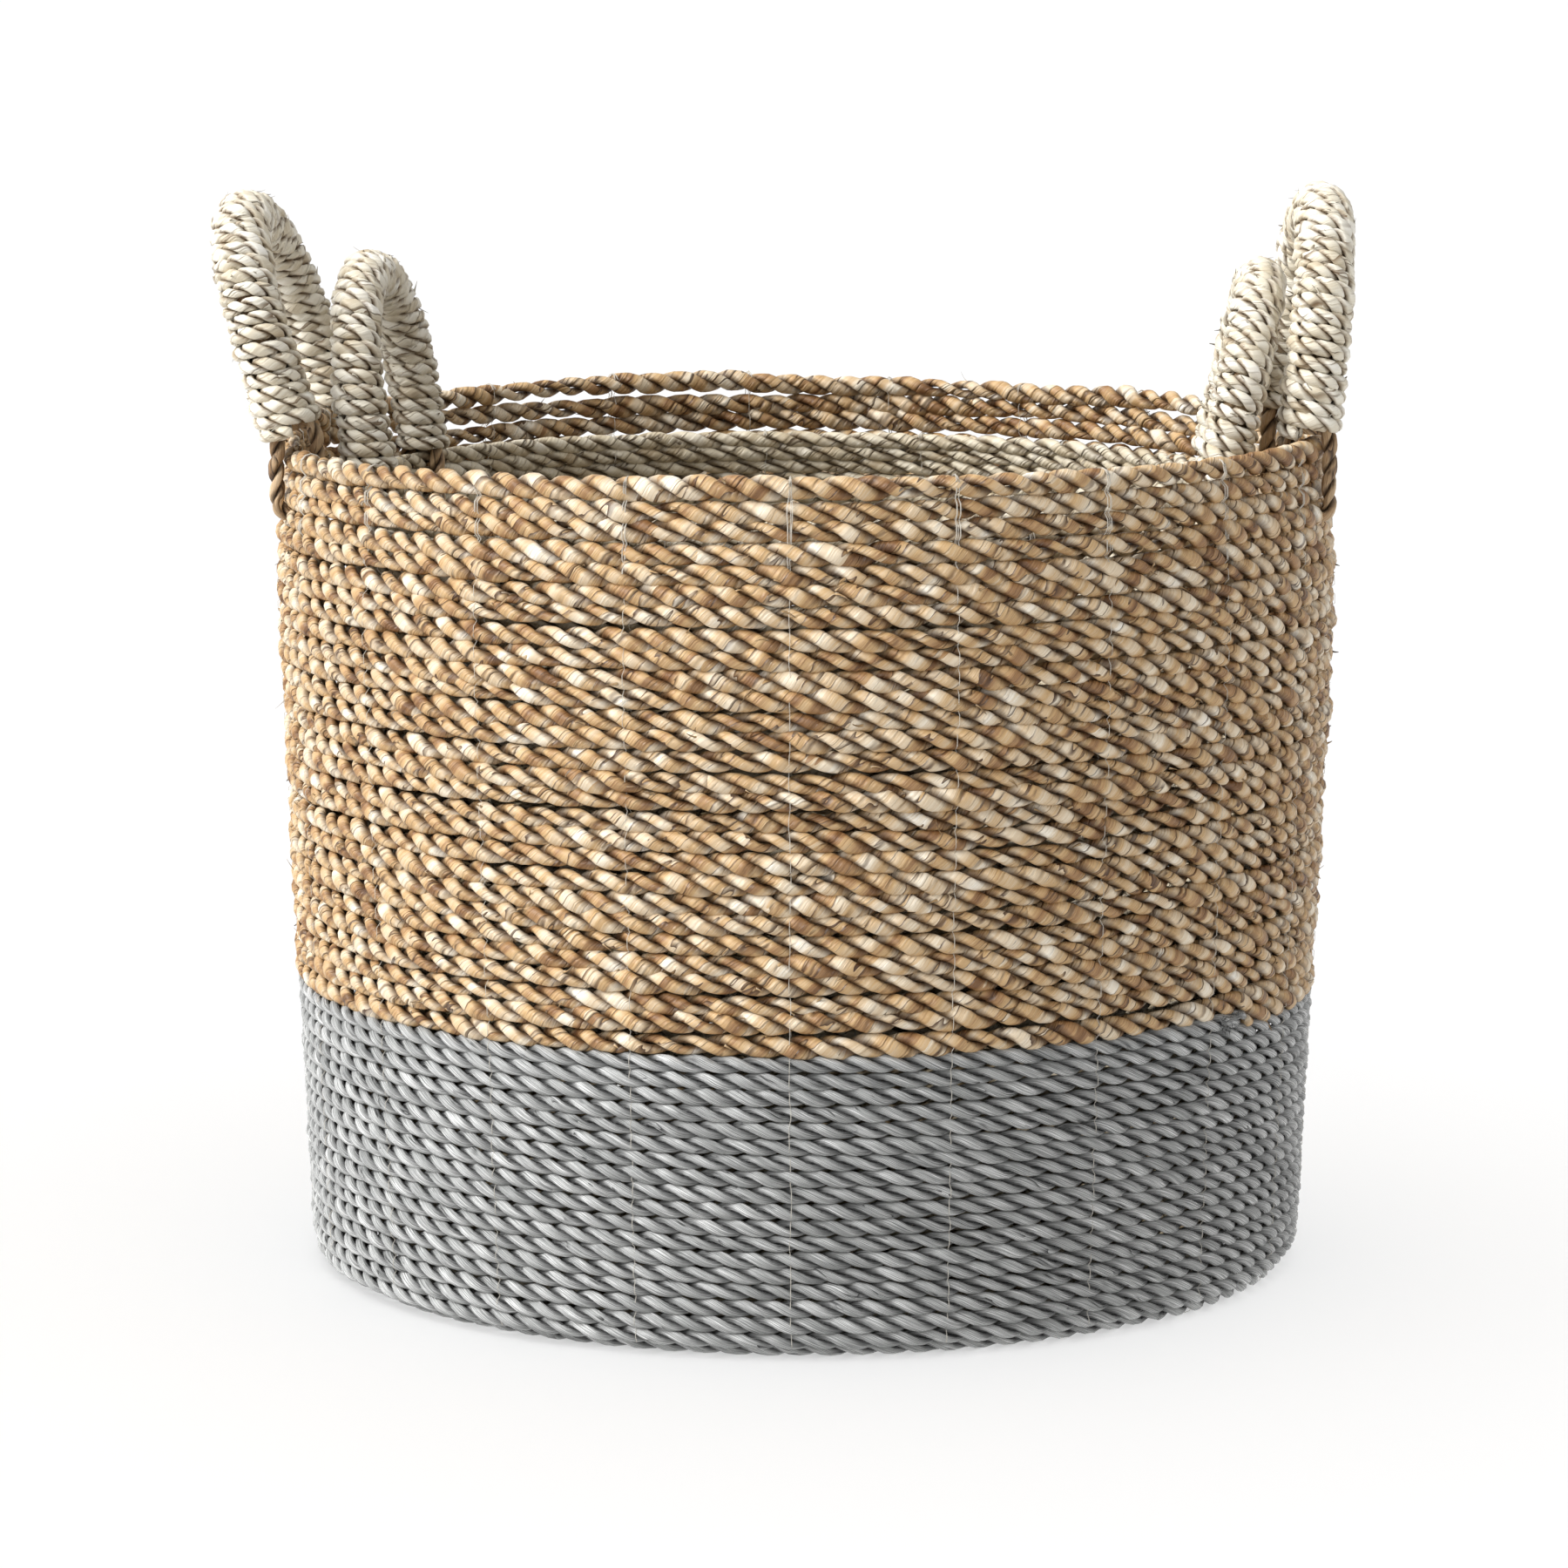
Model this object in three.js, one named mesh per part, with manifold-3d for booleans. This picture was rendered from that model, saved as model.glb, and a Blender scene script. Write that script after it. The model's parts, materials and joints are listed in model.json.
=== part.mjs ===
// A nested pair of round storage baskets, coiled from twisted seagrass rope and sewn with upright threads.
// Millimetres, +Z up. The origin is the centre of the large basket's underside, +X is the right-hand handle
// and +Y is the back. The small basket stands inside the large one, and each has two upright rope handles.

import * as THREE from "three";
import { mergeVertices } from "three/addons/utils/BufferGeometryUtils.js";
import Module from "manifold-3d";

const wasm = await Module();
wasm.setup();

// ---- Driving dimensions ----

const gap = 0.3; // left between pieces that touch
const wallFacets = 48; // facets round a wall, a base or a rim
const degree = Math.PI / 180;

const naturalRope = 8.2; // twisted seagrass rope, and so the large basket's upper wall
const greyRope = 6.8; // twisted grey rope of the large basket's base and lower band
const paleRope = 7.0; // pale seagrass rope of the whole small basket
const greyBandHeight = 124.8; // where the large basket changes colour

const rimRadius = 220; // of the large basket, to its outside
const bellyBulge = 3.3; // its widest height is this much wider than its rim
const footInset = 8.2; // its foot is this much narrower than its rim
const nestGap = 23.3; // between the large basket's inside and the small basket's outside
const smallRimDrop = 20.6; // the small rim sits this far below the large one

const strapRadius = 3.0; // brown rope that ties a handle's leg through the wall
const strapDepth = 34; // from the rim's top down to the strap's hole
const strapBend = 4; // radius of the strap's two corners, on its centre line
const strapHoleClearance = 0.5;

const hingeLift = 1.5; // the handles' hinge lines lie this far above the rims
const mostLean = 35; // degrees from upright that a handle can lean

const threadThickness = 0.8;
const threadWidth = 0.9;

// A basket's radii are to its outside. The belly is its widest height.
const large = {
  name: "large",
  floor: 0,
  height: 354.6,
  footRadius: rimRadius - footInset,
  bellyRadius: rimRadius + bellyBulge,
  bellyHeight: 284,
  rimRadius,
  cornerRadius: 12,
  wallRope: naturalRope,
  baseRope: greyRope,
  gripRadius: 13,
  coreRadius: 7,
  legSpacing: 119,
  archHeight: 87.3,
  threads: 21,
  firstThread: 268.2,
};

const smallFloor = large.floor + large.baseRope + gap;
const small = {
  name: "small",
  floor: smallFloor,
  height: large.height - smallRimDrop - smallFloor,
  footRadius: large.footRadius - large.baseRope - nestGap,
  bellyRadius: large.bellyRadius - large.wallRope - nestGap,
  bellyHeight: large.bellyHeight - smallRimDrop - smallFloor,
  rimRadius: large.rimRadius - large.wallRope - nestGap,
  cornerRadius: 12,
  wallRope: paleRope,
  baseRope: paleRope,
  gripRadius: 11.25,
  coreRadius: 6,
  legSpacing: 114,
  archHeight: 80.3,
  threads: 16,
  firstThread: 5.6,
};

// Azimuths are in degrees from +X towards +Y, and a lean is outwards from upright.
const handles = [
  { basket: large, side: "left", azimuth: 176, lean: 18 },
  { basket: large, side: "right", azimuth: 0, lean: 6 },
  { basket: small, side: "left", azimuth: 172.2, lean: 8 },
  { basket: small, side: "right", azimuth: 356.5, lean: 7 },
];

// ---- Materials ----

const finish = (color, roughness) =>
  new THREE.MeshStandardMaterial({ color, roughness, metalness: 0 });
const naturalSeagrass = finish(0xa98457, 0.75);
const greyCord = finish(0x7f8280, 0.45);
const paleSeagrass = finish(0xcbbfa6, 0.75);
const brownCord = finish(0x7d5f41, 0.7);
const sewingThread = finish(0xd8d2c8, 0.4);

// ---- Shapes used by several pieces ----

const object = new THREE.Group();

function addPiece(name, geometry, material, parent = object) {
  const mesh = new THREE.Mesh(geometry, material);
  mesh.name = name;
  parent.add(mesh);
  return mesh;
}

const rimTop = (basket) => basket.floor + basket.height;

// Gap left inside a wall, whose flat facets stand in from the true circle.
const innerGap = (basket) => gap + basket.bellyRadius * (1 - Math.cos(Math.PI / wallFacets));

// Radius of the middle of the rim rope, where the handles stand.
const rimMiddle = (basket) => basket.rimRadius - basket.wallRope / 2;

// Outside radius of the wall at a height: straight from foot to belly, then straight in to the rim.
function wallRadius(basket, z) {
  const foot = basket.floor + basket.cornerRadius;
  const belly = basket.floor + basket.bellyHeight;
  if (z < belly) {
    const share = (z - foot) / (belly - foot);
    return THREE.MathUtils.lerp(basket.footRadius, basket.bellyRadius, share);
  }
  const share = (z - belly) / (rimTop(basket) - belly);
  return THREE.MathUtils.lerp(basket.bellyRadius, basket.rimRadius, share);
}

// Points of an arc in the section plane, as [radius, height] pairs, from one angle to another.
function arcPoints(centre, radius, fromAngle, toAngle, steps) {
  return Array.from({ length: steps + 1 }, (_, i) => {
    const angle = fromAngle + ((toAngle - fromAngle) * i) / steps;
    return [centre[0] + radius * Math.cos(angle), centre[1] + radius * Math.sin(angle)];
  });
}

// A closed section, anticlockwise with radius to the right and height up, turned about the Z axis.
function turned(section) {
  const points = [...section, section[0]].map(([r, z]) => new THREE.Vector2(r, z));
  return new THREE.LatheGeometry(points, wallFacets).rotateX(Math.PI / 2);
}

// A flat-bottomed U, standing on its open ends at height 0, with two round corners.
class RoundedArch extends THREE.Curve {
  constructor(span, height, corner, place) {
    super();
    Object.assign(this, { span, height, corner, place });
  }

  getPoint(t) {
    const { span, height, corner, place } = this;
    const leg = height - corner;
    const quarter = (Math.PI / 2) * corner;
    const top = span - 2 * corner;
    const length = 2 * leg + 2 * quarter + top;
    const mirrored = t > 0.5;
    const along = (mirrored ? 1 - t : t) * length;
    let across = span / 2;
    let up = along;
    if (along > leg + quarter) {
      across = span / 2 - corner - (along - leg - quarter);
      up = height;
    } else if (along > leg) {
      const angle = (along - leg) / corner;
      across = span / 2 - corner + corner * Math.cos(angle);
      up = leg + corner * Math.sin(angle);
    }
    return place(mirrored ? across : -across, up);
  }
}

// A round bar, or a tube if it has a bore, along a curve.
function bar(curve, radius, sides, steps, bore = 0) {
  const section = new THREE.Shape(circlePoints(radius, sides));
  if (bore > 0) section.holes.push(new THREE.Path(circlePoints(bore, sides)));
  return new THREE.ExtrudeGeometry(section, { steps, extrudePath: curve, bevelEnabled: false });
}

function circlePoints(radius, sides) {
  return Array.from({ length: sides }, (_, i) => {
    const angle = (2 * Math.PI * i) / sides;
    return new THREE.Vector2(radius * Math.cos(angle), radius * Math.sin(angle));
  });
}

function toSolid(geometry) {
  const bare = new THREE.BufferGeometry();
  bare.setAttribute("position", geometry.getAttribute("position"));
  if (geometry.index) bare.setIndex(geometry.index);
  const merged = mergeVertices(bare, 1e-3);
  const vertProperties = merged.getAttribute("position").array;
  const triVerts = new Uint32Array(merged.index.array);
  return new wasm.Manifold(new wasm.Mesh({ numProp: 3, vertProperties, triVerts }));
}

function toGeometry(solid) {
  const { vertProperties, triVerts } = solid.getMesh();
  const geometry = new THREE.BufferGeometry();
  geometry.setAttribute("position", new THREE.BufferAttribute(vertProperties, 3));
  geometry.setIndex(new THREE.BufferAttribute(triVerts, 1));
  return geometry;
}

// ---- Base coil: a flat spiral of rope, here a plain disc ----

function baseCoil(basket) {
  const radius = basket.footRadius - basket.cornerRadius - gap;
  const top = basket.floor + basket.baseRope;
  return turned([
    [0, basket.floor],
    [radius, basket.floor],
    [radius, top],
    [0, top],
  ]);
}

// ---- Walls: rope coiled upwards, here smooth rings ----

// The rounded foot and the wall above it, up to a height.
function footedWall(basket, rope, high) {
  const centre = [basket.footRadius - basket.cornerRadius, basket.floor + basket.cornerRadius];
  const outside = arcPoints(centre, basket.cornerRadius, -Math.PI / 2, 0, 4);
  const inside = arcPoints(centre, basket.cornerRadius - rope, 0, -Math.PI / 2, 2);
  return [
    ...outside,
    ...bellyPoints(basket, 0, centre[1], high),
    [wallRadius(basket, high), high],
    [wallRadius(basket, high) - rope, high],
    ...bellyPoints(basket, rope, centre[1], high),
    ...inside,
  ];
}

// The belly's point, where a stretch of wall goes past it.
function bellyPoints(basket, inwards, low, high) {
  const belly = basket.floor + basket.bellyHeight;
  return belly > low && belly < high ? [[basket.bellyRadius - inwards, belly]] : [];
}

function plainWall(basket, rope, low, high) {
  return [
    [wallRadius(basket, low), low],
    ...bellyPoints(basket, 0, low, high),
    [wallRadius(basket, high), high],
    [wallRadius(basket, high) - rope, high],
    ...bellyPoints(basket, rope, low, high),
    [wallRadius(basket, low) - rope, low],
  ];
}

const wallTop = (basket) => rimTop(basket) - basket.wallRope - gap;

// ---- Rim rope: the last turn, a ring on top of the wall ----

function rimRope(basket) {
  const radius = basket.wallRope / 2;
  const centre = [rimMiddle(basket), rimTop(basket) - radius];
  return turned(arcPoints(centre, radius, 0, 2 * Math.PI, 8).slice(0, -1));
}

// ---- Handles: a rope core in a tight wrap of pale rope, hinged on the rim ----

const legAngle = (basket) => Math.asin(basket.legSpacing / 2 / rimMiddle(basket)) / degree;

// A leg's cut end lies this far above its hinge line, so that it clears a thread over the rim
// when the handle leans all the way. The curved rim strays from the hinge line under a leg.
function endLift(basket) {
  const radius = basket.wallRope / 2;
  const threadTop = radius + innerGap(basket) + threadThickness;
  const stray = basket.gripRadius * Math.tan(legAngle(basket) * degree);
  const lean = mostLean * degree;
  const reach = stray * Math.sin(lean) - (radius + hingeLift) * Math.cos(lean);
  return threadTop + reach + 2 * gap;
}

function addHandle({ basket, side, azimuth, lean }) {
  const { legSpacing, archHeight, gripRadius, coreRadius } = basket;
  const chord = Math.sqrt(rimMiddle(basket) ** 2 - (legSpacing / 2) ** 2);
  const turn = new THREE.Group();
  turn.rotation.z = azimuth * degree;
  object.add(turn);
  const hinge = new THREE.Group();
  hinge.position.set(chord, 0, rimTop(basket) + hingeLift);
  hinge.rotation.y = lean * degree;
  turn.add(hinge);

  const lift = endLift(basket);
  const upright = (across, up) => new THREE.Vector3(0, across, up + lift);
  const arch = new RoundedArch(legSpacing, archHeight - lift, legSpacing / 2, upright);
  const name = `${basket.name}_${side}_handle`;
  const bore = coreRadius + gap;
  addPiece(`${name}_wrap`, bar(arch, gripRadius, 12, 16, bore), paleSeagrass, hinge);
  addPiece(`${name}_core`, bar(arch, coreRadius, 8, 16), brownCord, hinge);
}

// ---- Straps: a U of brown rope under each leg, through a hole in the wall ----

// Two places for each handle: azimuth in degrees and the name's ending.
const strapPlaces = ({ basket, side, azimuth }) => {
  const away = side === "left" ? 1 : -1;
  return [
    { azimuth: azimuth + away * legAngle(basket), name: `${basket.name}_${side}_strap_front` },
    { azimuth: azimuth - away * legAngle(basket), name: `${basket.name}_${side}_strap_back` },
  ];
};

// How far out and in the strap's two strands hang, and how far below the rim they end,
// so that a leg's cut end clears them when the handle leans all the way.
function strapSize(basket) {
  const holeHeight = rimTop(basket) - strapDepth;
  const outside = wallRadius(basket, holeHeight) + gap + strapRadius;
  const inside = basket.rimRadius - basket.wallRope - innerGap(basket) - strapRadius;
  const reach = Math.max(outside - rimMiddle(basket), rimMiddle(basket) - inside) + strapRadius;
  const lean = mostLean * degree;
  const dip = (reach * Math.sin(lean) - endLift(basket)) / Math.cos(lean);
  const endDrop = dip - hingeLift + 2 * gap;
  return { holeHeight, outside, inside, endDrop };
}

function strap(basket) {
  const { holeHeight, outside, inside, endDrop } = strapSize(basket);
  const middle = (outside + inside) / 2;
  const top = rimTop(basket) - endDrop;
  const hanging = (across, down) => new THREE.Vector3(middle + across, 0, top - down);
  const curve = new RoundedArch(outside - inside, top - holeHeight, strapBend, hanging);
  return bar(curve, strapRadius, 8, 14);
}

function strapHole(basket, azimuth) {
  const { holeHeight, outside, inside } = strapSize(basket);
  const radius = strapRadius + strapHoleClearance;
  const drill = new THREE.CylinderGeometry(radius, radius, outside - inside + 2 * naturalRope, 12);
  drill.rotateZ(Math.PI / 2).translate((outside + inside) / 2, 0, holeHeight);
  return toSolid(drill.rotateZ(azimuth * degree));
}

// ---- Sewing threads: up the outside, over the rim and down the inside ----

function thread(basket) {
  const low = basket.floor + basket.cornerRadius;
  const belly = basket.floor + basket.bellyHeight;
  const top = wallTop(basket);
  const shoulder = rimTop(basket) - basket.wallRope / 2;
  const outerTop = Math.max(wallRadius(basket, top), basket.rimRadius);
  const innerTop = Math.min(wallRadius(basket, top), basket.rimRadius);
  const line = (thickness) => {
    const outwards = gap + thickness;
    const inwards = basket.wallRope + innerGap(basket) + thickness;
    const radius = basket.wallRope / 2 + innerGap(basket) + thickness;
    return [
      [wallRadius(basket, low) + outwards, low],
      [basket.bellyRadius + outwards, belly],
      [outerTop + outwards, top],
      ...arcPoints([rimMiddle(basket), shoulder], radius, 0, Math.PI, 6),
      [innerTop - inwards, top],
      [basket.bellyRadius - inwards, belly],
      [wallRadius(basket, low) - inwards, low],
    ];
  };
  const outline = [...line(threadThickness), ...line(0).reverse()];
  const shape = new THREE.Shape(outline.map(([r, z]) => new THREE.Vector2(r, z)));
  const geometry = new THREE.ExtrudeGeometry(shape, { depth: threadWidth, bevelEnabled: false });
  return geometry.translate(0, 0, -threadWidth / 2).rotateX(Math.PI / 2);
}

function addThreads(basket) {
  for (let i = 0; i < basket.threads; i++) {
    const name = `${basket.name}_stitch_${String(i + 1).padStart(2, "0")}`;
    const mesh = addPiece(name, thread(basket), sewingThread);
    mesh.rotation.z = (basket.firstThread + (360 * i) / basket.threads) * degree;
  }
}

// ---- Assembly ----

// Walls with a hole under each leg of the basket's handles.
function drilled(basket, section) {
  const places = handles.filter((handle) => handle.basket === basket).flatMap(strapPlaces);
  const cut = (solid, place) => solid.subtract(strapHole(basket, place.azimuth));
  return toGeometry(places.reduce(cut, toSolid(turned(section))));
}

addPiece("large_base_coil", baseCoil(large), greyCord);
addPiece("large_grey_band", turned(footedWall(large, greyRope, greyBandHeight)), greyCord);
const naturalWall = plainWall(large, naturalRope, greyBandHeight + gap, wallTop(large));
addPiece("large_natural_wall", drilled(large, naturalWall), naturalSeagrass);
addPiece("large_rim_rope", rimRope(large), naturalSeagrass);

addPiece("small_base_coil", baseCoil(small), paleSeagrass);
addPiece("small_wall", drilled(small, footedWall(small, paleRope, wallTop(small))), paleSeagrass);
addPiece("small_rim_rope", rimRope(small), paleSeagrass);

for (const handle of handles) {
  addHandle(handle);
  for (const place of strapPlaces(handle)) {
    const mesh = addPiece(place.name, strap(handle.basket), brownCord);
    mesh.rotation.z = place.azimuth * degree;
  }
}

addThreads(large);
addThreads(small);

export default object;
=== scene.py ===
"""A nested pair of storage baskets, coiled from twisted seagrass rope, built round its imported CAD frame.

Metres, +Z up. The origin is the centre of the large basket's underside. +X is the right-hand handle and
+Y the back.
"""

import json
import math

import bpy
import numpy as np
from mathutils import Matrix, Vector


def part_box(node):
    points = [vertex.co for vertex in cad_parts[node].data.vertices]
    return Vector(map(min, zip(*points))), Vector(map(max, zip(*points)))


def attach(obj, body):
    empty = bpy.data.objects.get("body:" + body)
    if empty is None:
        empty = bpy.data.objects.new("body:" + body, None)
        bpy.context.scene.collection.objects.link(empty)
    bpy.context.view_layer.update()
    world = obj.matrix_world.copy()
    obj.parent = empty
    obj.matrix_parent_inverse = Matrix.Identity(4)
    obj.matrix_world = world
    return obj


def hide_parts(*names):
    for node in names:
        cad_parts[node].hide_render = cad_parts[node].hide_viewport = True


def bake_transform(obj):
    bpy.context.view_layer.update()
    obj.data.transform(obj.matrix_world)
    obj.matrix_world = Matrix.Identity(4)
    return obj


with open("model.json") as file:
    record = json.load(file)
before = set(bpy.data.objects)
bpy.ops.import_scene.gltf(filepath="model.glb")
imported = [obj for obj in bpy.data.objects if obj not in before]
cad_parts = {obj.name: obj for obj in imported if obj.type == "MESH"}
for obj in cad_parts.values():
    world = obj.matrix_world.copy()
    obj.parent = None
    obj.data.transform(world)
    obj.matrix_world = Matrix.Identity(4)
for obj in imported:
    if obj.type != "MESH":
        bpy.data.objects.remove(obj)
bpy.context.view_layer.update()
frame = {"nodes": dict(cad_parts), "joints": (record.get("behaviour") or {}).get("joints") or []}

# ---- Camera, floor and lights ----
# A long lens a little above the baskets, on a white studio floor. One large soft lamp stands in front to
# the left, and the white surroundings fill the shadows.

scene = bpy.context.scene
scene.view_settings.view_transform = "Standard"

camera = bpy.data.objects.new("camera", bpy.data.cameras.new("camera"))
camera.location = (-0.0092, -2.530, 0.5936)
camera.rotation_euler = (math.radians(90 - 8.85), 0, 0)
camera.data.lens = 137.7
camera.data.sensor_width = 36
scene.collection.objects.link(camera)
scene.camera = camera


def facing(place, target):
    """Turns for a lamp at a place, so that it faces a target."""
    away = np.subtract(place, target)
    return (math.atan2(math.hypot(away[0], away[1]), away[2]), 0, math.atan2(away[0], -away[1]))


key = bpy.data.objects.new("key_lamp", bpy.data.lights.new("key_lamp", "SUN"))
key.data.energy = 4.4
key.data.angle = math.radians(40)
key.location = (-2.2, -0.75, 2.1)
key.rotation_euler = facing(key.location, (0, 0, 0.1))
scene.collection.objects.link(key)
wash = bpy.data.objects.new("floor_lamp", bpy.data.lights.new("floor_lamp", "SUN"))
wash.data.energy = 1.6
wash.data.use_shadow = False
scene.collection.objects.link(wash)

# The surroundings light the baskets a little less brightly than the white the camera sees behind them.
seen_strength = 1.0
lit_strength = 0.62
world = bpy.data.worlds.new("studio")
world.use_nodes = True
studio = world.node_tree
studio.nodes["Background"].inputs["Color"].default_value = (1, 1, 1, 1)
seen = studio.nodes.new("ShaderNodeLightPath")
brightness = studio.nodes.new("ShaderNodeMath")
brightness.operation = "MULTIPLY_ADD"
brightness.inputs[1].default_value = seen_strength - lit_strength
brightness.inputs[2].default_value = lit_strength
studio.links.new(seen.outputs["Is Camera Ray"], brightness.inputs[0])
studio.links.new(brightness.outputs[0], studio.nodes["Background"].inputs["Strength"])
scene.world = world

floor_mesh = bpy.data.meshes.new("floor")
floor_mesh.from_pydata([(-30, -6, 0), (30, -6, 0), (30, 60, 0), (-30, 60, 0)], [], [(0, 1, 2, 3)])
floor = bpy.data.objects.new("floor", floor_mesh)
scene.collection.objects.link(floor)
floor_paint = bpy.data.materials.new("floor_paint")
floor_paint.use_nodes = True
floor_paint.node_tree.nodes["Principled BSDF"].inputs["Base Color"].default_value = (0.93, 0.93, 0.93, 1)
floor_paint.node_tree.nodes["Principled BSDF"].inputs["Roughness"].default_value = 0.9
floor_mesh.materials.append(floor_paint)

# The key lamp leaves the floor out, and the floor's own lamp lights nothing else, so that the only shadow
# is soft.
for lamp, state in ((key, "EXCLUDE"), (wash, "INCLUDE")):
    receivers = bpy.data.collections.new(lamp.name + "_receivers")
    receivers.objects.link(floor)
    receivers.collection_objects[0].light_linking.link_state = state
    lamp.light_linking.receiver_collection = receivers

# ---- Large basket: grey base and lower band ----
# One twisted rope of two smooth grey strands, coiled flat from the middle of the base, round the foot
# and up the lower wall, each turn sewn to the last.


def drift(rng, along, reach, amount):
    """Slow random change along a length: random values every reach, joined by straight lines."""
    knots = np.arange(along[0] - reach, along[-1] + 2 * reach, reach)
    return amount * np.interp(along, knots, rng.uniform(-1, 1, len(knots)))


def unit(vectors):
    return vectors / np.linalg.norm(vectors, axis=-1, keepdims=True)


def twisted(path, out, thick, lay, rng, sides=8, rough=1.0, strands=2, wide=0.68):
    """Strands twisted round each other along a path, each a grid of rings by sides.

    A strand's centre circles the path once each lay, at 0.48 of the rope's radius. Its section is an
    ellipse, 0.52 of the radius through and a share, wide, across. Rings start on the side near the path.
    """
    along = np.concatenate([[0], np.cumsum(np.linalg.norm(np.diff(path, axis=0), axis=1))])
    tangent = unit(np.gradient(path, axis=0))
    out = unit(out - tangent * (out * tangent).sum(1, keepdims=True))
    up = np.cross(out, tangent)
    radius = (thick / 2 * (1 + drift(rng, along, 0.04, 0.07 * rough)))[:, None]
    turn = -2 * np.pi * along / lay + drift(rng, along, 0.08, 1.0 * rough)
    round_strand = np.linspace(-np.pi, np.pi, sides, endpoint=False)
    grids = []
    for strand in range(strands):
        angle = (turn + 2 * np.pi * strand / strands)[:, None]
        own = 1 + drift(rng, along, 0.02, 0.2 * rough) + drift(rng, along, 0.006, 0.09 * rough)
        towards = radius * (0.48 + 0.52 * own[:, None] * np.cos(round_strand))
        across = radius * wide * own[:, None] * np.sin(round_strand)
        outwards = (towards * np.cos(angle) - across * np.sin(angle))[..., None]
        upwards = (towards * np.sin(angle) + across * np.cos(angle))[..., None]
        grids.append((path[:, None] + outwards * out[:, None] + upwards * up[:, None], along + 20 * strand))
    return grids


def tube(path, out, radius, sides, flat=1.0):
    """A single round or flattened strand, its thickness towards out a share, flat, of its width."""
    along = np.concatenate([[0], np.cumsum(np.linalg.norm(np.diff(path, axis=0), axis=1))])
    tangent = unit(np.gradient(path, axis=0))
    out = unit(out - tangent * (out * tangent).sum(1, keepdims=True))
    up = np.cross(out, tangent)
    turn = np.linspace(-np.pi, np.pi, sides, endpoint=False)
    radius = np.broadcast_to(radius, len(path))[:, None]
    ring = (flat * radius * np.cos(turn))[..., None] * out[:, None]
    ring = ring + (radius * np.sin(turn))[..., None] * up[:, None]
    return path[:, None] + ring, along


def rope_mesh(name, grids, material):
    """Closed tubes from grids of rings, with capped ends.

    The strand map is length in metres by turn round the strand.
    """
    places, faces, corners, loose, starts = [], [], [], [], 0
    for grid, along in grids:
        rings, sides = grid.shape[:2]
        i, j = np.meshgrid(np.arange(rings - 1), np.arange(sides), indexing="ij")
        k = (j + 1) % sides
        quads = np.stack([i * sides + j, (i + 1) * sides + j, (i + 1) * sides + k, i * sides + k], -1)
        faces.append(starts + quads.reshape(-1, 4))
        u = np.stack([along[i], along[i + 1], along[i + 1], along[i]], -1)
        v = np.stack([j, j, j + 1, j + 1], -1) / sides
        corners.append(np.stack([u, v], -1).reshape(-1, 2))
        loose.append((starts + np.arange(sides), along[0]))
        loose.append((starts + rings * sides - 1 - np.arange(sides), along[-1]))
        places.append(grid.reshape(-1, 3))
        starts += rings * sides
    quads = np.concatenate(faces)
    sides = len(loose[0][0])
    caps = np.array([end for end, _ in loose])
    cap_corners = np.array([[(at, n / sides) for n in range(sides)] for _, at in loose]).reshape(-1, 2)
    mesh = bpy.data.meshes.new(name)
    points = np.concatenate(places)
    mesh.vertices.add(len(points))
    mesh.vertices.foreach_set("co", points.astype(np.float32).ravel())
    mesh.loops.add(quads.size + caps.size)
    mesh.loops.foreach_set("vertex_index", np.concatenate([quads.ravel(), caps.ravel()]).astype(np.int32))
    mesh.polygons.add(len(quads) + len(caps))
    first = np.concatenate([np.arange(len(quads)) * 4, quads.size + np.arange(len(caps)) * sides])
    mesh.polygons.foreach_set("loop_start", first.astype(np.int32))
    strand_map = mesh.uv_layers.new(name="strand")
    strand_map.data.foreach_set("uv", np.concatenate([*corners, cap_corners]).astype(np.float32).ravel())
    mesh.update()
    mesh.validate()
    mesh.shade_smooth()
    mesh.materials.append(material)
    ob = bpy.data.objects.new(name, mesh)
    scene.collection.objects.link(ob)
    return ob


def outline(*names):
    """Outer radius of turned CAD nodes, at each height where they have a corner."""
    places = np.array([v.co for name in names for v in frame["nodes"][name].data.vertices])
    radius = np.hypot(places[:, 0], places[:, 1])
    heights = np.unique(places[:, 2].round(5))
    return heights, np.array([radius[abs(places[:, 2] - z) < 1e-4].max() for z in heights])


def meridian(points):
    """Evenly spaced points of a rope's middle line, in the radius and height plane.

    Rows are distance along the line, radius, height, and the outward direction's radius and height.
    """
    points = np.array(points, float)
    length = np.concatenate([[0], np.cumsum(np.hypot(*np.diff(points, axis=0).T))])
    distance = np.linspace(0, length[-1], 800)
    radius, height = (np.interp(distance, length, points[:, i]) for i in (0, 1))
    slope = unit(np.stack([np.gradient(radius), np.gradient(height)], -1))
    return np.stack([distance, radius, height, slope[:, 1], -slope[:, 0]])


def coiled(line, place, turns, azimuth, spacing):
    """The turns, points and outward directions of a path wound round the Z axis.

    At a turn, the path is place(turn) along a meridian, at azimuth plus that turn.
    """
    fine = np.linspace(*turns, int(400 * (turns[1] - turns[0])))
    radius = np.interp(place(fine), line[0], line[1])
    length = np.concatenate([[0], np.cumsum(2 * np.pi * radius[1:] * np.diff(fine))])
    turn = np.interp(np.arange(0, length[-1], spacing), length, fine)
    radius, height, out_radius, out_height = (np.interp(place(turn), line[0], row) for row in line[1:])
    angle = azimuth + 2 * np.pi * turn
    path = np.stack([radius * np.cos(angle), radius * np.sin(angle), height], -1)
    out = np.stack([out_radius * np.cos(angle), out_radius * np.sin(angle), out_height], -1)
    return turn, path, out


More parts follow.
